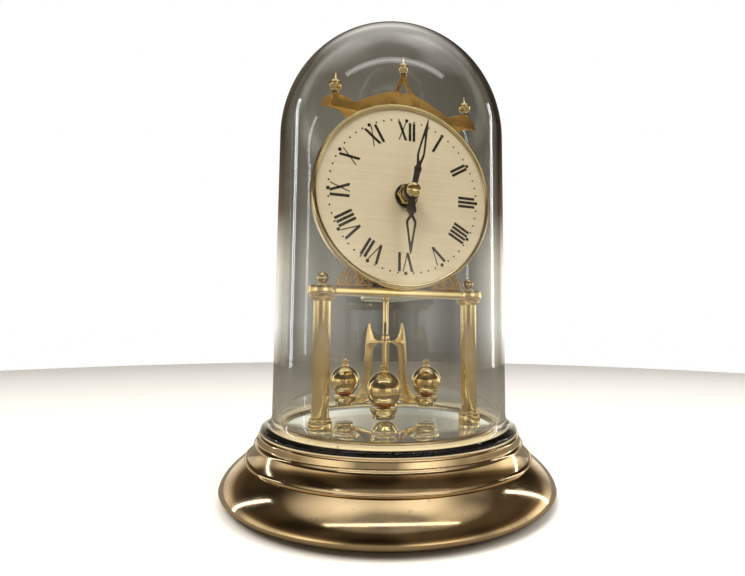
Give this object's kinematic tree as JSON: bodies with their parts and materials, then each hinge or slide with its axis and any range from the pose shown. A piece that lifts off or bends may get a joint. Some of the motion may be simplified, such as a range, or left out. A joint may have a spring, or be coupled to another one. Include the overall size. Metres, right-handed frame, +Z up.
{
  "type": "anniversary clock",
  "caption": "Mantel clock under a lift-off glass dome, with a brass base, two columns, a round dial and a rotating ball pendulum.",
  "frame": {"origin": "centre of the underside of the base", "axes": "+Z up; the dial faces -Y; +X to the right as seen from the front"},
  "size_m": [0.156, 0.156, 0.2263],
  "materials": {
    "base_brass": "spun brass plate, polished and lacquered",
    "polished_brass": "mirror-polished brass",
    "satin_brass": "satin sheet brass",
    "pale_gold": "polished pale gold plate",
    "glass": "clear blown glass",
    "mirror": "silvered mirror",
    "dial": "champagne, finely brushed",
    "black_paint": "black enamel",
    "black_plastic": "fine moulded grain",
    "white_plastic": "natural moulded gear plastic",
    "steel": "plain bright steel",
    "copper": "enamelled copper winding",
    "circuit_board": "green solder resist",
    "battery": "plain wrapped cell",
    "felt": "dark green felt",
    "board": "brown fibreboard"
  },
  "bodies": {
    "clock_frame": {"base_shell": "base_brass", "felt_ring": "felt", "bottom_plate": "board", "base_core": "black_plastic", "mirror_plate": "mirror", "plinth_left": "polished_brass", "plinth_right": "polished_brass", "column_left": "polished_brass", "column_right": "polished_brass", "tie_rod_left": "steel", "tie_rod_right": "steel", "ball_finial_left": "polished_brass", "ball_finial_right": "polished_brass", "beam": "polished_brass", "scroll_left": "satin_brass", "scroll_right": "satin_brass", "bezel": "pale_gold", "dial_plate": "dial", "pediment": "satin_brass", "finial_left": "polished_brass", "finial_right": "polished_brass", "finial_centre": "polished_brass", "threaded_bush": "polished_brass", "dial_washer": "black_paint", "dial_nut": "polished_brass", "movement_case": "black_plastic", "movement_cover": "black_plastic", "battery": "battery", "contact_plate": "steel", "circuit_board": "circuit_board", "motor_coil": "copper", "stator": "steel", "movement_stand": "black_plastic", "drive_case": "black_plastic", "suspension_bridge": "steel", "drive_coil": "copper"},
    "dome": {"glass_dome": "glass"},
    "minute_arbor": {"minute_hand": "black_paint", "hand_nut": "polished_brass", "cannon_pinion": "steel", "centre_wheel": "white_plastic"},
    "hour_tube": {"hour_hand": "black_paint", "hour_wheel": "white_plastic"},
    "setting_arbor": {"minute_wheel": "white_plastic", "setting_knob": "black_plastic"},
    "intermediate_arbor": {"intermediate_wheel": "white_plastic"},
    "motor_rotor": {"rotor": "steel"},
    "pendulum": {"suspension_rod": "polished_brass", "drive_magnet": "steel", "pendulum_hub": "polished_brass", "blade_front": "polished_brass", "blade_left": "polished_brass", "blade_right": "polished_brass", "cup_front": "polished_brass", "cup_left": "polished_brass", "cup_right": "polished_brass", "ball_front": "polished_brass", "ball_left": "polished_brass", "ball_right": "polished_brass"},
    "battery_lid": {"battery_door": "black_plastic"}
  },
  "joints": [
    {"name": "dome_lift", "type": "slide", "parent": "clock_frame", "child": "dome", "axis": [0, 0, 1], "range_m": [0, 0.19]},
    {"name": "minute_turn", "type": "hinge", "parent": "clock_frame", "child": "minute_arbor", "pos_m": [0, -0.0236, 0.137], "axis": [0, 1, 0], "continuous": true},
    {"name": "hour_turn", "type": "hinge", "parent": "clock_frame", "child": "hour_tube", "pos_m": [0, -0.0236, 0.137], "axis": [0, 1, 0], "continuous": true},
    {"name": "setting_turn", "type": "hinge", "parent": "clock_frame", "child": "setting_arbor", "pos_m": [0, -0.0236, 0.1468], "axis": [0, 1, 0], "continuous": true},
    {"name": "intermediate_turn", "type": "hinge", "parent": "clock_frame", "child": "intermediate_arbor", "pos_m": [0.00855, -0.0236, 0.137], "axis": [0, 1, 0], "continuous": true},
    {"name": "rotor_turn", "type": "hinge", "parent": "clock_frame", "child": "motor_rotor", "pos_m": [0.01282, -0.0236, 0.1444], "axis": [0, 1, 0], "continuous": true},
    {"name": "pendulum_turn", "type": "hinge", "parent": "clock_frame", "child": "pendulum", "pos_m": [0, 0.0078, 0.0905], "axis": [0, 0, 1], "range_deg": [-135, 135]},
    {"name": "battery_door_slide", "type": "slide", "parent": "clock_frame", "child": "battery_lid", "axis": [1, 0, 0], "range_m": [0, 0.02]}
  ],
  "couplings": [
    {"joint": "setting_turn", "follows": "minute_turn", "ratio": -0.33333},
    {"joint": "hour_turn", "follows": "minute_turn", "ratio": 0.083333},
    {"joint": "intermediate_turn", "follows": "minute_turn", "ratio": -5},
    {"joint": "rotor_turn", "follows": "minute_turn", "ratio": 25}
  ]
}
